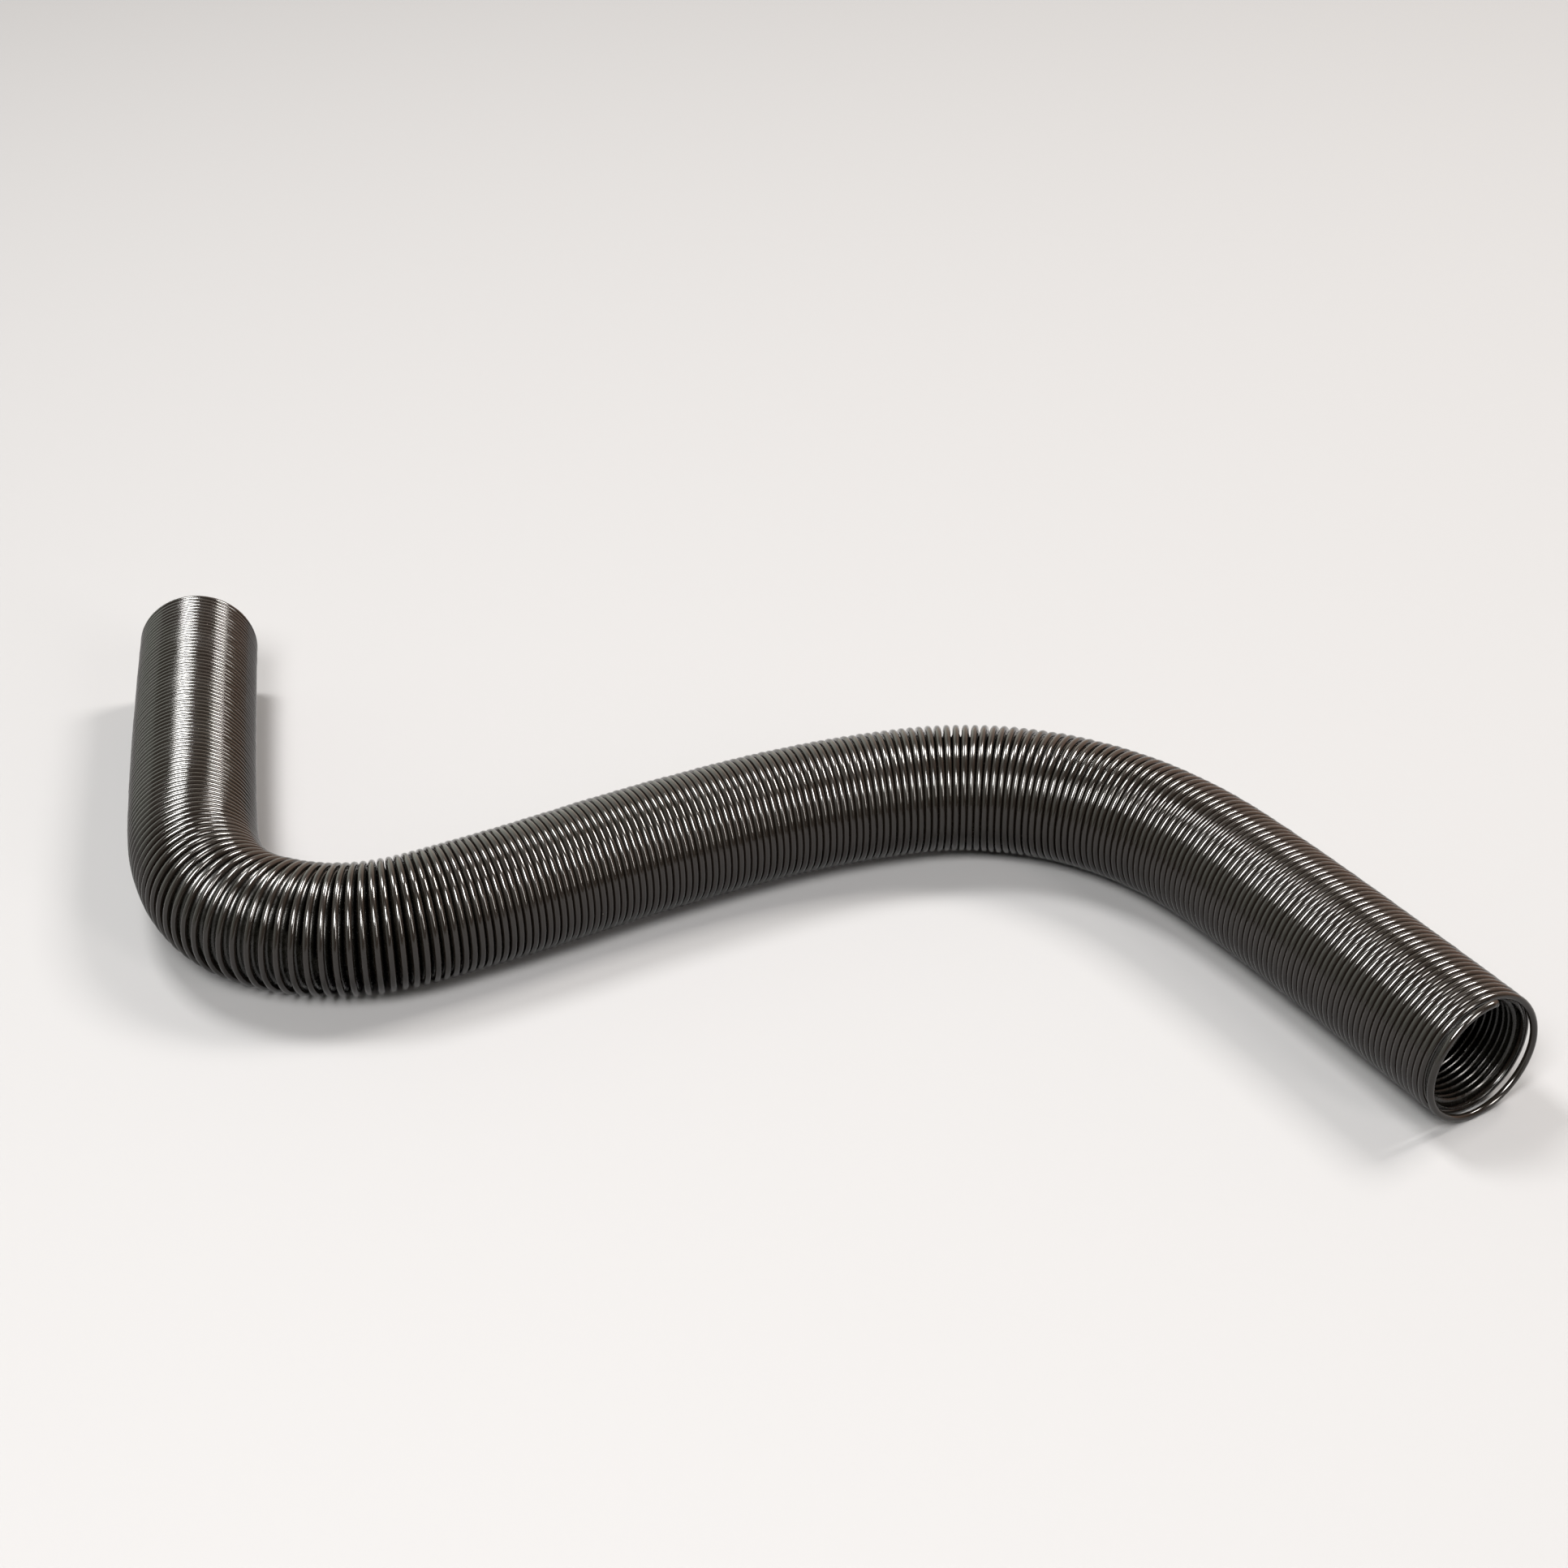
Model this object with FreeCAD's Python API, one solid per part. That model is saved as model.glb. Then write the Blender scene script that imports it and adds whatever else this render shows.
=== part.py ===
# A vacuum hose wound from vinyl-coated spring wire, with a thin vinyl film welded between the turns.
# It lies on the floor in the S of the photograph, cut square at both ends, with no cuffs.
# Millimetres. X runs to the right along the hose's longest extent, Y away from the viewer, Z up.
# The origin is on the floor, under the centre of the whole hose's box.
import FreeCAD, Part
import math
import os

# Driving dimensions of the tube
BORE_DIAMETER = 38.1
STEEL_WIRE_DIAMETER = 1.0
JACKET_THICKNESS = 0.625
FILM_THICKNESS = 0.35

# Each rib stands for a little more than one turn of coated wire, to keep the ribs under two hundred
TURNS_PER_RIB = 1.285
# The width of a rib at its foot and at its crest, as shares of the closed spacing
RIB_FOOT_SHARE = 0.9
RIB_CREST_SHARE = 0.5
# The flat sides that stand for the steel wire's round section
WIRE_SIDES = 8

# The ribs are cut flat where the hose lies on the floor, through this share of the jacket
FLAT_SHARE = 0.8

# The route of the hose's centre line, seen from above, from its far end to its near end
ROUTE = [
    (-206.0, 135.0),
    (-195.0, 55.0),
    (-180.0, -29.0),
    (-131.0, -52.0),
    (-83.0, -32.0),
    (-37.0, -8.0),
    (21.0, 16.0),
    (79.0, 25.0),
    (131.0, -1.0),
    (169.0, -58.0),
    (208.0, -128.0),
]
# An arc takes this share of the shorter run beside its point
ARC_SHARE = 0.45
# The points whose arcs make the two bends
FAR_BEND_POINTS = (2, 3)
NEAR_BEND_POINTS = (7, 8)

coated_wire_diameter = STEEL_WIRE_DIAMETER + 2 * JACKET_THICKNESS
outer_radius = BORE_DIAMETER / 2 + coated_wire_diameter
groove_radius = BORE_DIAMETER / 2 + FILM_THICKNESS
wire_ring_radius = BORE_DIAMETER / 2 + coated_wire_diameter / 2
closed_pitch = TURNS_PER_RIB * coated_wire_diameter
flat_depth = FLAT_SHARE * JACKET_THICKNESS
axis_height = outer_radius - flat_depth
UP = FreeCAD.Vector(0, 0, 1)


class Piece:
    """A straight run or an arc of the route, with one curvature from end to end."""

    def __init__(self, start, heading, length, curvature, point=None):
        self.start = start
        self.heading = heading
        self.length = length
        self.curvature = curvature
        self.point = point

    def place(self, along):
        heading = self.heading + self.curvature * along
        if self.curvature == 0:
            x = self.start[0] + along * math.cos(heading)
            y = self.start[1] + along * math.sin(heading)
        else:
            x = self.start[0] + (math.sin(heading) - math.sin(self.heading)) / self.curvature
            y = self.start[1] - (math.cos(heading) - math.cos(self.heading)) / self.curvature
        centre = FreeCAD.Vector(x, y, axis_height)
        return centre, FreeCAD.Vector(math.cos(heading), math.sin(heading), 0)

    def edge(self):
        first = self.place(0)[0]
        last = self.place(self.length)[0]
        if self.curvature == 0:
            return Part.LineSegment(first, last).toShape()
        return Part.Arc(first, self.place(self.length / 2)[0], last).toShape()


def route_pieces(points):
    """The straight runs and tangent arcs through a list of points."""
    runs = [math.dist(a, b) for a, b in zip(points, points[1:])]
    headings = [math.atan2(b[1] - a[1], b[0] - a[0]) for a, b in zip(points, points[1:])]
    pieces = []
    used = 0.0
    for i, run in enumerate(runs):
        last = i == len(runs) - 1
        reach = 0.0 if last else ARC_SHARE * min(run, runs[i + 1])
        direction = (math.cos(headings[i]), math.sin(headings[i]))
        start = (points[i][0] + used * direction[0], points[i][1] + used * direction[1])
        pieces.append(Piece(start, headings[i], run - used - reach, 0))
        if last:
            break
        turn = headings[i + 1] - headings[i]
        radius = reach / math.tan(abs(turn) / 2)
        bend_start = (points[i + 1][0] - reach * direction[0], points[i + 1][1] - reach * direction[1])
        curvature = math.copysign(1 / radius, turn)
        pieces.append(Piece(bend_start, headings[i], radius * abs(turn), curvature, i + 1))
        print(f"point {i + 1}: turn {math.degrees(turn):.1f} degrees, radius {radius:.1f} mm")
        used = reach
    return pieces


def split_stretches(pieces):
    """The hose as three legs and the two bends between them."""
    where = {piece.point: i for i, piece in enumerate(pieces) if piece.point}
    far_start = where[FAR_BEND_POINTS[0]]
    far_end = where[FAR_BEND_POINTS[1]] + 1
    near_start = where[NEAR_BEND_POINTS[0]]
    near_end = where[NEAR_BEND_POINTS[1]] + 1
    return {
        "far_leg": pieces[:far_start],
        "far_bend": pieces[far_start:far_end],
        "middle_leg": pieces[far_end:near_start],
        "near_bend": pieces[near_start:near_end],
        "near_leg": pieces[near_end:],
    }


def crowding(piece):
    """Turns touch on the inside of a bend, so along its centre line they lie this much further apart."""
    return 1 / (1 - abs(piece.curvature) * wire_ring_radius)


def rib_places(pieces):
    """The piece and the place along it of each rib's middle, evenly spaced in turns along one stretch."""
    turns = [piece.length / (closed_pitch * crowding(piece)) for piece in pieces]
    count = max(1, round(sum(turns)))
    step = sum(turns) / count
    places = []
    for number in range(count):
        left = (number + 0.5) * step
        i = 0
        while left > turns[i] and i < len(pieces) - 1:
            left -= turns[i]
            i += 1
        places.append((pieces[i], left / turns[i] * pieces[i].length))
    return places


def circle_at(pieces, piece, along, radius):
    """A circle round the centre line, its seam at the top. A place past its piece's end is on the next piece."""
    i = pieces.index(piece)
    while along > pieces[i].length and i < len(pieces) - 1:
        along -= pieces[i].length
        i += 1
    while along < 0 and i > 0:
        i -= 1
        along += pieces[i].length
    centre, direction = pieces[i].place(along)
    circle = Part.Circle(centre, direction, radius)
    circle.XAxis = UP
    return Part.Wire(circle.toShape())


def steel_ring(centre, direction):
    """One ring of steel wire. Its round section is drawn with a few flat sides and the same area."""
    step = 2 * math.pi / WIRE_SIDES
    corner_radius = STEEL_WIRE_DIAMETER / 2 * math.sqrt(step / math.sin(step))
    corners = []
    for i in range(WIRE_SIDES + 1):
        outward = wire_ring_radius + corner_radius * math.cos((i + 0.5) * step)
        corners.append(centre + UP * outward + direction * (corner_radius * math.sin((i + 0.5) * step)))
    return Part.Face(Part.makePolygon(corners)).revolve(centre, direction, 360)


def wire_rings(ribs):
    """The steel core of each rib."""
    return Part.makeCompound([steel_ring(*piece.place(along)) for piece, along in ribs])


def ribbed_tube(pieces, ribs):
    """The film tube of one stretch with its ribs, four circles to a rib, and its bore."""
    foot = RIB_FOOT_SHARE * closed_pitch / 2
    crest = RIB_CREST_SHARE * closed_pitch / 2
    circles = [circle_at(pieces, pieces[0], 0, groove_radius)]
    for piece, along in ribs:
        circles.append(circle_at(pieces, piece, along - foot, groove_radius))
        circles.append(circle_at(pieces, piece, along - crest, outer_radius))
        circles.append(circle_at(pieces, piece, along + crest, outer_radius))
        circles.append(circle_at(pieces, piece, along + foot, groove_radius))
    circles.append(circle_at(pieces, pieces[-1], pieces[-1].length, groove_radius))
    outside = Part.makeLoft(circles, True, True)
    path = Part.Wire([piece.edge() for piece in pieces])
    bore_circle = circle_at(pieces, pieces[0], 0, BORE_DIAMETER / 2)
    return outside.cut(path.makePipeShell([bore_circle], True, False))


def below_floor(shape):
    """The space under the floor that a shape reaches into."""
    box = shape.BoundBox
    margin = 1.0
    corner = FreeCAD.Vector(box.XMin - margin, box.YMin - margin, box.ZMin - margin)
    return Part.makeBox(box.XLength + 2 * margin, box.YLength + 2 * margin, margin - box.ZMin, corner)


def vinyl_wall(pieces, ribs, rings):
    """The vinyl of one stretch: film and jacket welded into one wall, moulded round the steel in each rib."""
    tube = ribbed_tube(pieces, ribs)
    tube = tube.cut(below_floor(tube))
    skin = tube.Solids[0].Shells[0]
    hollows = [ring.Shells[0].reversed() for ring in rings.Solids]
    return Part.Solid(Part.makeCompound([skin] + hollows))


def bend_pivot(pieces):
    """The mean place of a bend's turning, about which the leg beyond it swings when the bend opens or closes."""
    steps = 200
    weight = 0.0
    total = FreeCAD.Vector(0, 0, 0)
    for piece in pieces:
        for i in range(steps):
            centre = piece.place((i + 0.5) / steps * piece.length)[0]
            turn = abs(piece.curvature) * piece.length / steps
            total += centre * turn
            weight += turn
    return total * (1 / weight)


def in_words(vector):
    return ", ".join(f"{value:.2f}" for value in vector)


stretches = split_stretches(route_pieces(ROUTE))
os.makedirs("parts", exist_ok=True)
rib_total = 0
box = FreeCAD.BoundBox()
for name, members in stretches.items():
    ribs = rib_places(members)
    rings = wire_rings(ribs)
    wall = vinyl_wall(members, ribs, rings)
    wall.exportStep(f"parts/{name}_wall.step")
    rings.exportStep(f"parts/{name}_wire.step")
    rib_total += len(ribs)
    box.add(wall.BoundBox)
    length = sum(piece.length for piece in members)
    print(f"{name}: {len(ribs)} ribs, {length:.1f} mm, vinyl {wall.Volume:.0f} cubic mm, valid {wall.isValid()}")
print(f"{rib_total} ribs, centre line {sum(p.length for m in stretches.values() for p in m):.1f} mm")
print(f"real turns {rib_total * TURNS_PER_RIB:.0f}, axis {axis_height:.3f} mm above the floor")
print(f"box {in_words((box.XMin, box.XMax, box.YMin, box.YMax, box.ZMin, box.ZMax))}")
for name in ("far_bend", "near_bend"):
    print(f"{name} pivot {in_words(bend_pivot(stretches[name]))}")
for name, member, along in (
    ("far end", stretches["far_leg"][0], 0),
    ("near end", stretches["near_leg"][-1], stretches["near_leg"][-1].length),
):
    centre, direction = member.place(along)
    print(f"{name} {in_words(centre)}, direction {', '.join(f'{value:.5f}' for value in direction)}")
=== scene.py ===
import math
import bpy
import numpy as np
from mathutils import Matrix, Vector


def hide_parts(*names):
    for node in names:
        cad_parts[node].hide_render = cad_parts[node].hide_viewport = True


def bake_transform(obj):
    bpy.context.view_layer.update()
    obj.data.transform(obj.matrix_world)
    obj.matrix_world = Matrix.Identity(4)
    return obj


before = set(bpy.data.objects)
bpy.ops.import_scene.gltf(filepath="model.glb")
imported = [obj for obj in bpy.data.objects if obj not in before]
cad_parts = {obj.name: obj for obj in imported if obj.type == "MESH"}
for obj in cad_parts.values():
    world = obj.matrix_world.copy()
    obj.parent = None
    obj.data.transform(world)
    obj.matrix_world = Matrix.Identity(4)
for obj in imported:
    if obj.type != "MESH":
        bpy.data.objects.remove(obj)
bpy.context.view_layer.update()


# The camera
# It stands in front of the hose and looks down on it, a little off level, as for a catalogue picture.
# The angles are in degrees: how far it looks to the left, down, and leans over to the right.
CAMERA_PLACE = (0.0126, -0.7134, 0.5096)
CAMERA_LEFT = 0.212
CAMERA_DOWN = 33.38
CAMERA_LEAN = 2.12
camera_data = bpy.data.cameras.new("camera")
camera_data.lens = 60.35
camera_data.sensor_width = 36.0
camera = bpy.data.objects.new("camera", camera_data)
camera.matrix_world = (
    Matrix.Translation(CAMERA_PLACE)
    @ Matrix.Rotation(math.radians(CAMERA_LEFT), 4, "Z")
    @ Matrix.Rotation(math.radians(90 - CAMERA_DOWN), 4, "X")
    @ Matrix.Rotation(math.radians(-CAMERA_LEAN), 4, "Z")
)
bpy.context.scene.collection.objects.link(camera)
bpy.context.scene.camera = camera


# The line of the hose
# A loose length of hose, cut from a longer one, which keeps the S that it took when it was laid down.
# Its centre line is one smooth curve, from the far end to the near end, at the height of half its width.
MM = 0.001
BORE_DIAMETER = 38.1 * MM
WIRE_DIAMETER = 2.25 * MM
outer_radius = BORE_DIAMETER / 2 + WIRE_DIAMETER
ring_radius = BORE_DIAMETER / 2 + WIRE_DIAMETER / 2
# The points that the line is drawn towards, seen from above, in millimetres
ROUTE = [
    (-206.2, 136.8),
    (-195.0, 55.0),
    (-180.0, -29.0),
    (-131.0, -52.0),
    (-83.0, -32.0),
    (-37.0, -8.0),
    (21.0, 16.0),
    (79.0, 25.0),
    (131.0, -1.0),
    (169.0, -58.0),
    (209.6, -131.0),
]
curve = bpy.data.curves.new("route", "CURVE")
curve.dimensions = "3D"
curve.resolution_u = 64
spline = curve.splines.new("NURBS")
spline.points.add(len(ROUTE) - 1)
for point, (x, y) in zip(spline.points, ROUTE):
    point.co = (x * MM, y * MM, outer_radius, 1)
spline.order_u = 3
spline.use_endpoint_u = True
route = bpy.data.objects.new("route", curve)
bpy.context.scene.collection.objects.link(route)
route_mesh = bpy.data.meshes.new_from_object(route)
line = np.array([vertex.co for vertex in route_mesh.vertices])
bpy.data.objects.remove(route)
bpy.data.meshes.remove(route_mesh)


# The winding
# The coated wire is wound left-handed with its turns all but touching, and springs back to that when it
# isn't pulled. In a bend the turns close up on the inside, so they lie further apart along the centre line.
LINE_STEP = 0.25 * MM
run = np.concatenate([[0], np.cumsum(np.linalg.norm(np.diff(line, axis=0), axis=1))])
hose_length = run[-1]
along = np.linspace(0, hose_length, round(hose_length / LINE_STEP) + 1)
centre = np.stack([np.interp(along, run, line[:, axis]) for axis in range(3)], axis=1)


def smooth(values, width):
    """Evens out a row of values over a width along the hose, and holds its ends."""
    reach = round(width / LINE_STEP)
    weights = np.hanning(2 * reach + 1)
    return np.convolve(np.pad(values, reach, mode="edge"), weights / weights.sum(), mode="valid")


def ease(share):
    """A soft step from 0 to 1."""
    share = np.clip(share, 0, 1)
    return share * share * (3 - 2 * share)


# The stiff wire evens out the hose's turning over this length
EVENING = 40 * MM
heading = smooth(np.unwrap(np.arctan2(np.gradient(centre[:, 1]), np.gradient(centre[:, 0]))), EVENING)
curvature = np.abs(np.gradient(heading, along))
crowding = 1 / (1 - curvature * ring_radius)

# No two turns lie equally close: the gap, as a share of the wire's width, wanders about a small mean
LOOSENESS = 0.02
WANDER = 3 * MM
# Smoothing shrinks the draws by about the root of their number in its width, so they start out larger
loose = np.random.default_rng(seed=4)
uneven = loose.uniform(-LOOSENESS, LOOSENESS, len(along)) * math.sqrt(WANDER / LINE_STEP)
slack = LOOSENESS + smooth(uneven, WANDER)
pitch = WIRE_DIAMETER * (1 + np.clip(slack, 0, None)) * crowding

# How far the last turn stands off the one before it
STAND_OFF = 1.6 * MM
# How many turns there are up to each point of the line
turns = np.concatenate([[0], np.cumsum(LINE_STEP / (pitch[1:] + pitch[:-1]) * 2)])
far_cut = np.interp(WIRE_DIAMETER / 2, along, turns)
near_cut = np.interp(hose_length - WIRE_DIAMETER / 2 - STAND_OFF, along, turns)
# The near cut is at the top and the far one underneath, so the wire has half a turn more than whole turns
turn_count = math.floor(near_cut - far_cut) + 0.5
tightening = turn_count / (near_cut - far_cut)
turns *= tightening
far_cut *= tightening

# How far round from the top the near cut is
CUT_ANGLE = math.radians(5)
# Cut free of the film, the last turn comes away over this share of a turn. Over the last and shorter
# share its cut end springs this much of the way back.
COMES_AWAY_OVER = 0.28
SPRINGS_BACK_OVER = 0.2
SPRINGS_BACK = 0.55

# How unevenly the turns lie along the hose and in their radius
PLACE_DRIFT = 0.05 * MM
RADIUS_DRIFT = 0.07 * MM
# More knots than the wire ever uses up
KNOT_COUNT = 2000


def turn_place(turn):
    """How far along the hose the wire is after so many turns, with the last turn standing off."""
    left = turn_count - turn
    stand_off = ease((1 - left) / COMES_AWAY_OVER) - SPRINGS_BACK * ease(1 - left / SPRINGS_BACK_OVER)
    return np.interp(turn + far_cut, turns, along) + STAND_OFF * stand_off


def drift(turn, seed, size, per_turn):
    """A slow wander of up to that size, with so many knots to a turn, as a machine-wound coil has."""
    knots = np.random.default_rng(seed).uniform(-size, size, KNOT_COUNT)
    return np.interp(turn * per_turn, np.arange(len(knots)), knots)


def wire_centre(turn):
    """The middle of the wire after so many turns, and the outward direction there."""
    place = turn_place(turn) + drift(turn, seed=11, size=PLACE_DRIFT, per_turn=2.3)
    angle = 2 * math.pi * (turn - turn_count) + CUT_ANGLE
    middle = np.stack([np.interp(place, along, centre[:, axis]) for axis in range(3)], axis=-1)
    facing = np.interp(place, along, heading)
    tangent = np.stack([np.cos(facing), np.sin(facing), 0 * facing], axis=-1)
    side = np.stack([-np.sin(facing), np.cos(facing), 0 * facing], axis=-1)
    outward = side * np.sin(angle)[..., None]
    outward[..., 2] += np.cos(angle)
    radius = ring_radius + drift(turn, seed=12, size=RADIUS_DRIFT, per_turn=1.7) - RADIUS_DRIFT
    beyond = place - np.clip(place, 0, hose_length)
    return middle + beyond[..., None] * tangent + radius[..., None] * outward, outward


# How the hose bends
# The hose bends in two places. Each half of it runs along two legs and the bend between them.

# The lengths of the hose's stretches, in millimetres, from the far end
STRETCHES = {"far_leg": 142, "far_bend": 95, "middle_leg": 176, "near_bend": 108, "near_leg": 122}
HALF_RUNS = {
    "far": ("far_leg", "far_bend", "middle_leg"),
    "near": ("middle_leg", "near_bend", "near_leg"),
}
# Where each stretch ends along the hose, scaled to the hose's length
stretch_ends = np.cumsum(list(STRETCHES.values()))
stretch_ends = dict(zip(STRETCHES, stretch_ends / stretch_ends[-1] * hose_length))


def carry(piece, half, layer):
    """Fixes a piece of one half in place, and hides the layer of its stretches' solids that it stands for.
    """
    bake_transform(piece)
    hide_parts(*[f"{stretch}_{layer}" for stretch in HALF_RUNS[half]])


# The vinyl jacket
# Flexible black vinyl, extruded over the spring wire before it was wound, so the draw marks run along the
# wire. It leaves the die smooth and glossy. Its crests have rubbed a little duller, and it holds some dust.
JACKET_SEGMENTS = 64
JACKET_SIDES = 12
# Lengths along the wire count this much in the pattern of draw marks, so the marks come out long
DRAW_MARK_STRETCH = 0.02


def unit(vectors):
    """The same directions at a length of one."""
    return vectors / np.linalg.norm(vectors, axis=1)[:, None]


def wire_rings(start, end, radius, segments, sides):
    """Rings of points round the wire's middle line, so many to a turn, from one turn count to another."""
    turn = np.linspace(start, end, round((end - start) * segments) + 1)
    middle, outward = wire_centre(turn)
    forward = unit(np.gradient(middle, axis=0))
    out = unit(outward - (outward * forward).sum(axis=1)[:, None] * forward)
    across = np.cross(forward, out)
    around = np.arange(sides) / sides * 2 * math.pi
    rings = (
        middle[:, None]
        + radius * np.cos(around)[None, :, None] * out[:, None]
        + radius * np.sin(around)[None, :, None] * across[:, None]
    )
    return rings, turn, around


def skin(name, rings):
    """A closed skin through a row of rings with as many points each, and a flat face at either end."""
    rows, sides = rings.shape[:2]
    corner = np.arange(rows - 1)[:, None] * sides + np.arange(sides)
    beside = np.arange(rows - 1)[:, None] * sides + (np.arange(sides) + 1) % sides
    faces = np.stack([corner, beside, beside + sides, corner + sides], axis=-1).reshape(-1, 4).tolist()
    faces.append(list(range(sides))[::-1])
    faces.append(list(range((rows - 1) * sides, rows * sides)))
    mesh = bpy.data.meshes.new(name)
    mesh.from_pydata(rings.reshape(-1, 3).tolist(), [], faces)
    mesh.polygons.foreach_set("use_smooth", [True] * (len(faces) - 2) + [False] * 2)
    mesh.update()
    piece = bpy.data.objects.new(name, mesh)
    bpy.context.scene.collection.objects.link(piece)
    return piece


# One length on the real hose. Here it is two halves, one for each bend, which meet in the middle leg.
middle_turn = round(turn_count / 2)
halves = {"far": (0, middle_turn), "near": (middle_turn, turn_count)}
jackets = {}
for half, (start, end) in halves.items():
    rings, turn, around = wire_rings(start, end, WIRE_DIAMETER / 2, JACKET_SEGMENTS, JACKET_SIDES)
    jacket = skin(f"vinyl_jacket_{half}", rings)
    # Where each point was as it left the die: outwards, sideways and, drawn out long, along the wire
    drawn = np.empty(rings.shape)
    drawn[..., 0] = np.cos(around) * WIRE_DIAMETER / 2
    drawn[..., 1] = np.sin(around) * WIRE_DIAMETER / 2
    drawn[..., 2] = turn[:, None] * 2 * math.pi * ring_radius * DRAW_MARK_STRETCH
    attribute = jacket.data.attributes.new("drawn", "FLOAT_VECTOR", "POINT")
    attribute.data.foreach_set("vector", drawn.astype(np.float32).ravel())
    jackets[half] = jacket


def linear(colour):
    """The linear colour of an sRGB hex value."""
    shares = [int(colour[i : i + 2], 16) / 255 for i in (1, 3, 5)]
    return [s / 12.92 if s <= 0.04045 else ((s + 0.055) / 1.055) ** 2.4 for s in shares] + [1.0]


def socket(sockets, name):
    """The socket of that name or place. Of a mix node's sockets of one name, the one for its data type."""
    if isinstance(name, int):
        return sockets[name]
    return next(found for found in sockets if found.name == name and found.enabled)


def add(owner, kind, inputs=None, **settings):
    """Adds a node with its settings to a material or the world. An input is a value, or a node and its
    output's name to link from."""
    node = owner.node_tree.nodes.new(kind)
    for name, value in settings.items():
        setattr(node, name, value)
    for name, value in (inputs or {}).items():
        if isinstance(value, tuple) and isinstance(value[0], bpy.types.Node):
            owner.node_tree.links.new(socket(value[0].outputs, value[1]), socket(node.inputs, name))
        else:
            socket(node.inputs, name).default_value = value
    return node


def new_material(name):
    """A material with no nodes in it yet."""
    material = bpy.data.materials.new(name)
    material.use_nodes = True
    material.node_tree.nodes.clear()
    return material


# Extruded flexible vinyl is a smooth dark gloss under a faint cloudy bloom, so its highlights are crisp.
# The real grain and draw marks are finer than these, and wouldn't show.
BLOOM_SIZE = 11 * MM
GRAIN_SIZE = 0.45 * MM
DRAW_MARK_WIDTH = 0.3 * MM
DRAW_MARK_DEPTH = 0.03 * MM
SPECK_SPACING = 7 * MM
SPECK_RADIUS = 0.14 * MM
SPECK_CORE_SHARE = 0.4
# The rubbed crest begins at this share of the way from the wire's middle out to its face
CREST_SHARE = 0.7
extruded_vinyl = new_material("extruded_flexible_vinyl_black")
place = add(extruded_vinyl, "ShaderNodeTexCoord")
drawn_place = add(extruded_vinyl, "ShaderNodeAttribute", attribute_name="drawn")
bloom = add(
    extruded_vinyl,
    "ShaderNodeTexNoise",
    {"Vector": (place, "Object"), "Scale": 1 / BLOOM_SIZE, "Detail": 3.0},
)
grain = add(
    extruded_vinyl,
    "ShaderNodeTexNoise",
    {"Vector": (place, "Object"), "Scale": 1 / GRAIN_SIZE, "Detail": 2.0},
)
marks = add(
    extruded_vinyl,
    "ShaderNodeTexNoise",
    {"Vector": (drawn_place, "Vector"), "Scale": 1 / DRAW_MARK_WIDTH, "Detail": 2.0},
)
specks = add(
    extruded_vinyl,
    "ShaderNodeTexVoronoi",
    {"Vector": (place, "Object"), "Scale": 1 / SPECK_SPACING},
)
dust = add(
    extruded_vinyl,
    "ShaderNodeMapRange",
    {
        "Value": (specks, "Distance"),
        "From Min": SPECK_RADIUS / SPECK_SPACING,
        "From Max": SPECK_CORE_SHARE * SPECK_RADIUS / SPECK_SPACING,
        "To Min": 0.0,
        "To Max": 0.6,
    },
)
outwards = add(extruded_vinyl, "ShaderNodeSeparateXYZ", {"Vector": (drawn_place, "Vector")})
crest = add(
    extruded_vinyl,
    "ShaderNodeMapRange",
    {
        "Value": (outwards, "X"),
        "From Min": CREST_SHARE * WIRE_DIAMETER / 2,
        "From Max": WIRE_DIAMETER / 2,
        "To Min": 0.0,
        "To Max": 0.035,
    },
)
gloss = add(
    extruded_vinyl,
    "ShaderNodeMapRange",
    {"Value": (bloom, "Fac"), "From Min": 0.3, "From Max": 0.7, "To Min": 0.1, "To Max": 0.18},
)
rubbed = add(
    extruded_vinyl,
    "ShaderNodeMath",
    {0: (gloss, "Result"), 1: (crest, "Result")},
    operation="ADD",
)
roughness = add(
    extruded_vinyl,
    "ShaderNodeMath",
    {0: (rubbed, "Value"), 1: (dust, "Result")},
    operation="ADD",
)
clouded = add(
    extruded_vinyl,
    "ShaderNodeMix",
    {"Factor": (grain, "Fac"), "A": linear("#080605"), "B": linear("#100d0a")},
    data_type="RGBA",
)
colour = add(
    extruded_vinyl,
    "ShaderNodeMix",
    {"Factor": (dust, "Result"), "A": (clouded, "Result"), "B": linear("#6b665e")},
    data_type="RGBA",
)
bump = add(
    extruded_vinyl,
    "ShaderNodeBump",
    {"Height": (marks, "Fac"), "Strength": 0.15, "Distance": DRAW_MARK_DEPTH},
)
shader = add(
    extruded_vinyl,
    "ShaderNodeBsdfPrincipled",
    {
        "Base Color": (colour, "Result"),
        "Roughness": (roughness, "Value"),
        "IOR": 1.46,
        "Normal": (bump, "Normal"),
    },
)
add(extruded_vinyl, "ShaderNodeOutputMaterial", {"Surface": (shader, "BSDF")})
for half, jacket in jackets.items():
    jacket.data.materials.append(extruded_vinyl)
    carry(jacket, half, layer="wall")


# The vinyl film
# A thin strip of the same vinyl, welded along both edges to the inner side of one turn and the next, which
# folds inwards as the turns close and makes the hose airtight. A knife cut it off before the last turn.
FILM_SEGMENTS = 56
FILM_THICKNESS = 0.3 * MM
FILM_HALF_WIDTH = 2.7 * MM
# How far round the wire from its crest the welds are
WELD_ANGLE = math.radians(140)
# The fold is a V with a soft bottom, drawn through these places from one weld, -1, to the other, 1
FOLD_PLACES = np.array([-1, -0.55, -0.06, 0.06, 0.55, 1])
FOLD_POWER = 1.2
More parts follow.
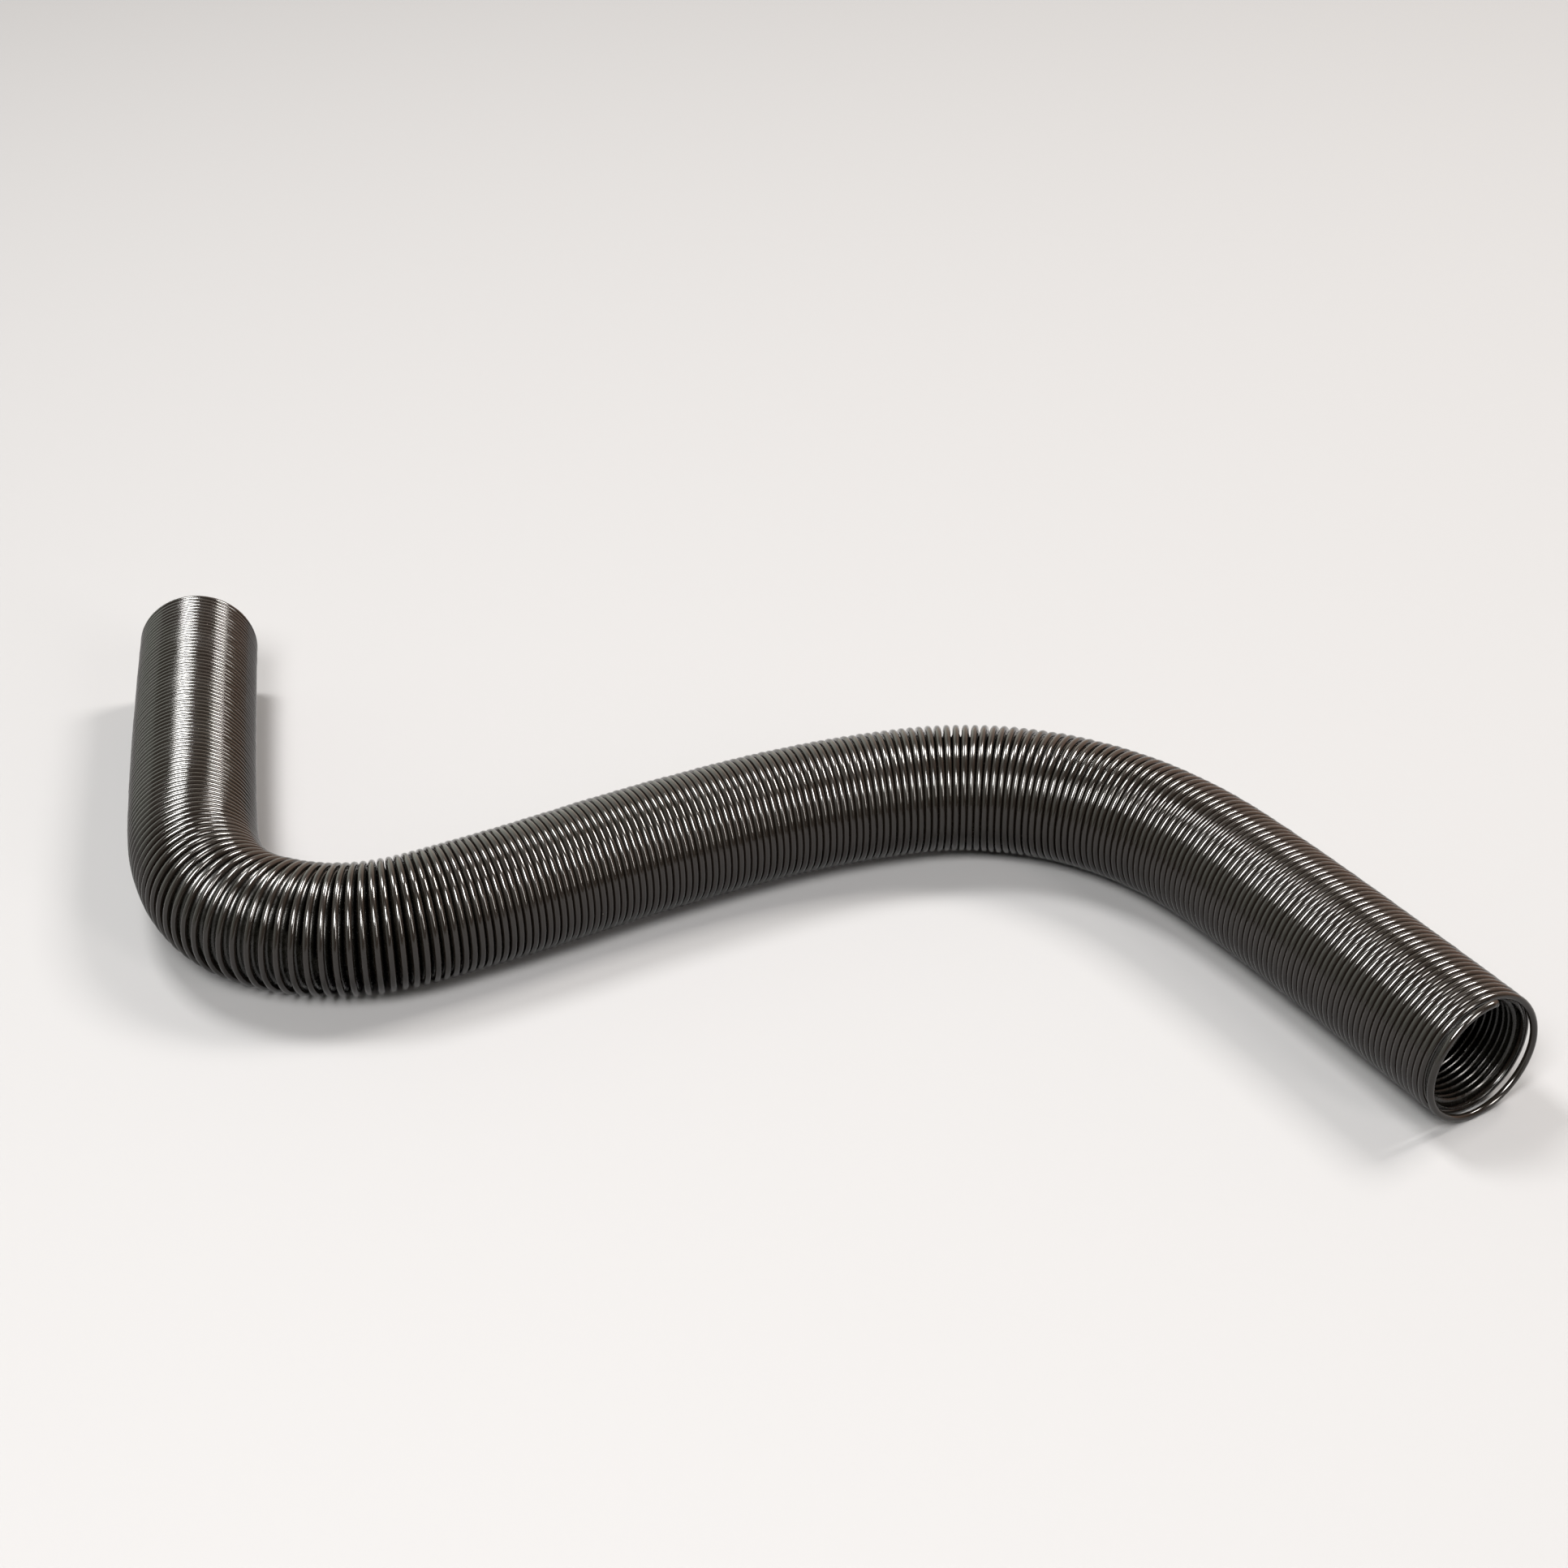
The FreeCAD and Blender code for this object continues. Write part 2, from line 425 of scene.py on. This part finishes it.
# How unevenly deep the folds are, and how deep at least, where a wide gap pulls the strip nearly flat
FOLD_DRIFT = 0.08
LEAST_FOLD = 0.3 * MM
# In turns back from the wire's end: where the knife parted the strip from the turn in front of it, over
# how much of a turn it did, and where the strip itself ends
KNIFE_CUT = 2.0
KNIFE_CUT_OVER = 0.05
STRIP_END = 1.05
# Past the cut its front edge hangs free at this width, leaning forwards and inwards, and nearly unfolded
FREE_WIDTH = 1.3985 * MM
FREE_FORWARDS = 0.62
FREE_INWARDS = 0.78
FREE_FOLD = 0.1


def weld(middle, out, over):
    """The line on the wire to which the strip is welded, on the side that over points to."""
    return middle + WIRE_DIAMETER / 2 * (math.cos(WELD_ANGLE) * out + math.sin(WELD_ANGLE) * over)


def film_rings(start, end):
    """The folded strip's section all along the gap between the turns, from one turn count to another."""
    turn = np.linspace(start, end, round((end - start) * FILM_SEGMENTS) + 1)
    here, out = wire_centre(turn)
    there, out_there = wire_centre(np.minimum(turn + 1, turn_count))
    over = unit(there - here)
    out = unit(out + out_there)
    weld_here = weld(here, out, over)
    weld_there = weld(there, out, -over)
    joined = ease((turn_count - KNIFE_CUT - turn) / KNIFE_CUT_OVER)[:, None]
    free_edge = weld_here + FREE_WIDTH * (FREE_FORWARDS * over - FREE_INWARDS * out)
    weld_there = joined * weld_there + (1 - joined) * free_edge

    middle = (weld_here + weld_there) / 2
    half_gap = np.linalg.norm(weld_there - weld_here, axis=1)[:, None] / 2
    across = (weld_there - weld_here) / (2 * half_gap)
    inward = unit((out * across).sum(axis=1)[:, None] * across - out)
    depth = np.sqrt(np.clip(FILM_HALF_WIDTH**2 - half_gap**2, LEAST_FOLD**2, None))
    unevenness = 1 + drift(turn, seed=21, size=FOLD_DRIFT, per_turn=5)
    depth *= unevenness[:, None] * (FREE_FOLD + (1 - FREE_FOLD) * joined)

    place = FOLD_PLACES[None, :]
    sideways = place * half_gap
    inwards = depth * (1 - np.abs(place) ** FOLD_POWER)
    slope_side = half_gap * np.ones_like(place)
    slope_in = -depth * FOLD_POWER * np.sign(place) * np.abs(place) ** (FOLD_POWER - 1)
    slope = np.hypot(slope_side, slope_in)
    offset_side = slope_in / slope * FILM_THICKNESS / 2
    offset_in = slope_side / slope * FILM_THICKNESS / 2
    outer = np.stack([sideways + offset_side, inwards - offset_in], axis=-1)
    inner = np.stack([sideways - offset_side, inwards + offset_in], axis=-1)
    profile = np.concatenate([outer, inner[:, ::-1]], axis=1)
    return middle[:, None] + profile[..., :1] * across[:, None] + profile[..., 1:] * inward[:, None]


films = {}
for half, (start, end) in halves.items():
    films[half] = skin(f"vinyl_film_{half}", film_rings(start, min(end, turn_count - STRIP_END)))

# Calendered film has a satin face with fine creases where it has folded. Its black is painted darker than
# the jacket's vinyl. This is painted shade, which keeps the gaps between the turns black.
CREASE_WIDTH = 1.6 * MM
CREASE_DEPTH = 0.1 * MM
film_vinyl_painted_shade = new_material("film_vinyl_black_with_painted_shade")
place = add(film_vinyl_painted_shade, "ShaderNodeTexCoord")
creases = add(
    film_vinyl_painted_shade,
    "ShaderNodeTexNoise",
    {"Vector": (place, "Object"), "Scale": 1 / CREASE_WIDTH, "Detail": 3.0},
)
# Painted shade: the film's black is darker than the jacket's so that the gaps read black, and the creases
# vary it at random
shade = add(
    film_vinyl_painted_shade,
    "ShaderNodeMix",
    {"Factor": (creases, "Fac"), "A": linear("#030302"), "B": linear("#080705")},
    data_type="RGBA",
)
gloss = add(
    film_vinyl_painted_shade,
    "ShaderNodeMapRange",
    {"Value": (creases, "Fac"), "From Min": 0.3, "From Max": 0.7, "To Min": 0.2, "To Max": 0.34},
)
bump = add(
    film_vinyl_painted_shade,
    "ShaderNodeBump",
    {"Height": (creases, "Fac"), "Strength": 0.25, "Distance": CREASE_DEPTH},
)
shader = add(
    film_vinyl_painted_shade,
    "ShaderNodeBsdfPrincipled",
    {
        "Base Color": (shade, "Result"),
        "Roughness": (gloss, "Result"),
        "IOR": 1.45,
        "Normal": (bump, "Normal"),
    },
)
add(film_vinyl_painted_shade, "ShaderNodeOutputMaterial", {"Surface": (shader, "BSDF")})
for half, film in films.items():
    film.data.materials.append(film_vinyl_painted_shade)
    carry(film, half, layer="wall")


# The spring wire
# Hard-drawn spring steel, one length from end to end inside the jacket. Only its two cut ends show, as the
# grey discs that the cutter left, a hair proud of the vinyl, which shrinks back.
STEEL_DIAMETER = 1.0 * MM
STEEL_SEGMENTS = 48
STEEL_SIDES = 6
STEEL_PROUD = 0.2 * MM
proud_turn = STEEL_PROUD / (2 * math.pi * ring_radius)
wires = {}
for half, (start, end) in halves.items():
    start = start - (proud_turn if half == "far" else 0)
    end = end + (proud_turn if half == "near" else 0)
    rings, _, _ = wire_rings(start, end, STEEL_DIAMETER / 2, STEEL_SEGMENTS, STEEL_SIDES)
    wires[half] = skin(f"spring_wire_{half}", rings)

# Drawn carbon steel is a grey metal, and its sheared face is torn into fine ridges that break up the shine.
SHEAR_MARK_WIDTH = 0.12 * MM
SHEAR_MARK_DEPTH = 0.02 * MM
drawn_steel = new_material("drawn_spring_steel")
place = add(drawn_steel, "ShaderNodeTexCoord")
shear = add(
    drawn_steel,
    "ShaderNodeTexNoise",
    {"Vector": (place, "Object"), "Scale": 1 / SHEAR_MARK_WIDTH, "Detail": 2.0},
)
shade = add(
    drawn_steel,
    "ShaderNodeMix",
    {"Factor": (shear, "Fac"), "A": linear("#77746f"), "B": linear("#a8a5a0")},
    data_type="RGBA",
)
dulled = add(
    drawn_steel,
    "ShaderNodeMapRange",
    {"Value": (shear, "Fac"), "From Min": 0.3, "From Max": 0.7, "To Min": 0.28, "To Max": 0.5},
)
bump = add(
    drawn_steel,
    "ShaderNodeBump",
    {"Height": (shear, "Fac"), "Strength": 0.4, "Distance": SHEAR_MARK_DEPTH},
)
shader = add(
    drawn_steel,
    "ShaderNodeBsdfPrincipled",
    {
        "Base Color": (shade, "Result"),
        "Metallic": 1.0,
        "Roughness": (dulled, "Result"),
        "Normal": (bump, "Normal"),
    },
)
add(drawn_steel, "ShaderNodeOutputMaterial", {"Surface": (shader, "BSDF")})
for half, wire in wires.items():
    wire.data.materials.append(drawn_steel)
    carry(wire, half, layer="wire")


# The whole hose
# Jacket, film and wire are one length of stiff, springy hose, which lies loose on the floor. Each half
# meets the other at the hose's middle and ends in a bare cut.


# The studio
# A pale sheet of backdrop paper, soft lights above, behind the camera and to the right, and a tall soft
# light in front.

# Half the paper's width, in metres
FLOOR_HALF = 4.0
corners = [(x * FLOOR_HALF, y * FLOOR_HALF, 0) for x, y in ((-1, -1), (1, -1), (1, 1), (-1, 1))]
floor_mesh = bpy.data.meshes.new("floor")
floor_mesh.from_pydata(corners, [], [(0, 1, 2, 3)])
floor = bpy.data.objects.new("floor", floor_mesh)
bpy.context.scene.collection.objects.link(floor)

# Matt paper is the same pale tone all over, and mirrors nothing
paper = new_material("backdrop_paper")
shader = add(paper, "ShaderNodeBsdfPrincipled", {"Base Color": linear("#5e5e5f"), "Roughness": 0.9})
add(paper, "ShaderNodeOutputMaterial", {"Surface": (shader, "BSDF")})
floor_mesh.materials.append(paper)


def softbox(name, azimuth, elevation, distance, width, height, radiance, colour):
    """A soft light that faces the hose. Its azimuth is from straight behind the hose towards the right."""
    bearing = math.radians(azimuth)
    rise = math.radians(elevation)
    towards = Vector(
        (math.sin(bearing) * math.cos(rise), math.cos(bearing) * math.cos(rise), math.sin(rise))
    )
    data = bpy.data.lights.new(name, "AREA")
    data.shape = "RECTANGLE"
    data.size = width
    data.size_y = height
    data.energy = radiance * math.pi * width * height
    data.color = linear(colour)[:3]
    light = bpy.data.objects.new(name, data)
    light.location = towards * distance
    light.rotation_mode = "QUATERNION"
    light.rotation_quaternion = towards.to_track_quat("Z", "Y")
    bpy.context.scene.collection.objects.link(light)


softbox(
    "light_above",
    azimuth=-41,
    elevation=63,
    distance=2.1,
    width=0.6,
    height=0.6,
    radiance=84,
    colour="#fffdfa",
)
softbox(
    "light_behind_camera",
    azimuth=-164,
    elevation=51.5,
    distance=1.56,
    width=0.52,
    height=0.56,
    radiance=82,
    colour="#fffdfa",
)
softbox(
    "light_right",
    azimuth=62,
    elevation=51,
    distance=2.74,
    width=0.8,
    height=0.8,
    radiance=86,
    colour="#fffaf4",
)
softbox(
    "light_front_right",
    azimuth=135,
    elevation=28,
    distance=3.0,
    width=0.5,
    height=1.6,
    radiance=32,
    colour="#fffaf4",
)

# The room: a bright wall behind the hose, brightest at the left and warm at the right, a tall pale card at
# the left, and less light from the ceiling and from the front. A direction's X is to the right, Y is to the
# back and Z is up.
world = bpy.data.worlds.new("studio")
bpy.context.scene.world = world
world.use_nodes = True
world.node_tree.nodes.clear()
direction = add(world, "ShaderNodeTexCoord")
parts = add(world, "ShaderNodeSeparateXYZ", {"Vector": (direction, "Generated")})

warmth = add(
    world,
    "ShaderNodeMapRange",
    {"Value": (parts, "X"), "From Min": -0.4, "From Max": 0.8, "To Min": 0.0, "To Max": 1.0},
)
wall = add(
    world,
    "ShaderNodeMix",
    {"Factor": (warmth, "Result"), "A": linear("#d5dad0"), "B": linear("#e9c0a9")},
    data_type="RGBA",
)
to_back = add(
    world,
    "ShaderNodeMapRange",
    {"Value": (parts, "Y"), "From Min": -0.3, "From Max": 0.4, "To Min": 0.25, "To Max": 1.45},
)
to_ceiling = add(
    world,
    "ShaderNodeMapRange",
    {"Value": (parts, "Z"), "From Min": 0.5, "From Max": 0.74, "To Min": 1.0, "To Max": 0.35},
)
to_right = add(
    world,
    "ShaderNodeMapRange",
    {"Value": (parts, "X"), "From Min": -0.2, "From Max": 0.4, "To Min": 1.5, "To Max": 0.95},
)
walls = add(
    world,
    "ShaderNodeMath",
    {0: (to_back, "Result"), 1: (to_ceiling, "Result")},
    operation="MULTIPLY",
)
room = add(
    world,
    "ShaderNodeMath",
    {0: (walls, "Value"), 1: (to_right, "Result")},
    operation="MULTIPLY",
)

# The card's top edge slopes up to the left
CARD_SLOPE = 0.85
slant = add(
    world,
    "ShaderNodeMath",
    {0: (parts, "X"), 1: CARD_SLOPE, 2: (parts, "Z")},
    operation="MULTIPLY_ADD",
)
under_edge = add(
    world,
    "ShaderNodeMapRange",
    {"Value": (slant, "Value"), "From Min": -0.08, "From Max": 0.0, "To Min": 0.95, "To Max": 0.0},
)
at_left = add(
    world,
    "ShaderNodeMapRange",
    {"Value": (parts, "X"), "From Min": -0.3, "From Max": -0.55, "To Min": 0.0, "To Max": 1.0},
)
not_behind = add(
    world,
    "ShaderNodeMapRange",
    {"Value": (parts, "Y"), "From Min": 0.45, "From Max": 0.0, "To Min": 0.0, "To Max": 1.0},
)
left_part = add(
    world,
    "ShaderNodeMath",
    {0: (under_edge, "Result"), 1: (at_left, "Result")},
    operation="MULTIPLY",
)
card = add(
    world,
    "ShaderNodeMath",
    {0: (left_part, "Value"), 1: (not_behind, "Result")},
    operation="MULTIPLY",
)
brightness = add(
    world,
    "ShaderNodeMath",
    {0: (room, "Value"), 1: (card, "Value")},
    operation="ADD",
)
sky = add(world, "ShaderNodeBackground", {"Color": (wall, "Result"), "Strength": (brightness, "Value")})
add(world, "ShaderNodeOutputWorld", {"Surface": (sky, "Background")})
bpy.context.scene.view_settings.view_transform = "Standard"
